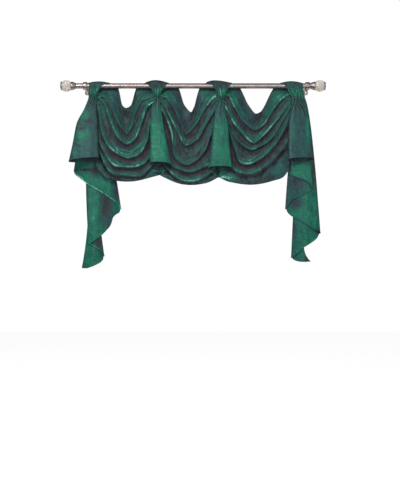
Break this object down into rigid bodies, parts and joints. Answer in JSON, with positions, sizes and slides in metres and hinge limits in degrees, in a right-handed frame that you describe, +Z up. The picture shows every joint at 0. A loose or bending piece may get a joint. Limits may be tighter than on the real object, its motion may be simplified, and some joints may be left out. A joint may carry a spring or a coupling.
{
  "type": "tab top swag curtain on a rod",
  "caption": "Swag valance of two-tone taffeta with pinched tabs, bell jabots and cascade tails, hung on a metal rod with glass finials and wall brackets.",
  "frame": {"origin": "on the wall, level with the rod's axis, at the middle of the curtain", "axes": "+Z up, +X to the right along the rod as seen from the front, +Y into the wall"},
  "size_m": [1.2703, 0.1408, 0.9014],
  "materials": {
    "taffeta": "two-tone faux silk, soft sheen",
    "satin_nickel": "satin",
    "knob_glass": "fluted clear glass"
  },
  "bodies": {
    "root": {"rod": "satin_nickel", "bracket_left": "satin_nickel", "bracket_right": "satin_nickel", "finial_collar_left": "satin_nickel", "finial_collar_right": "satin_nickel", "finial_knob_left": "knob_glass", "finial_knob_right": "knob_glass", "finial_cap_left": "satin_nickel", "finial_cap_right": "satin_nickel", "tab_1": "taffeta", "tab_2": "taffeta", "tab_3": "taffeta", "tab_4": "taffeta", "swag_1": "taffeta", "swag_2": "taffeta", "swag_3": "taffeta", "jabot_left": "taffeta", "jabot_mid_1": "taffeta", "jabot_mid_2": "taffeta", "jabot_right": "taffeta", "tail_left": "taffeta", "tail_right": "taffeta"}
  },
  "joints": []
}
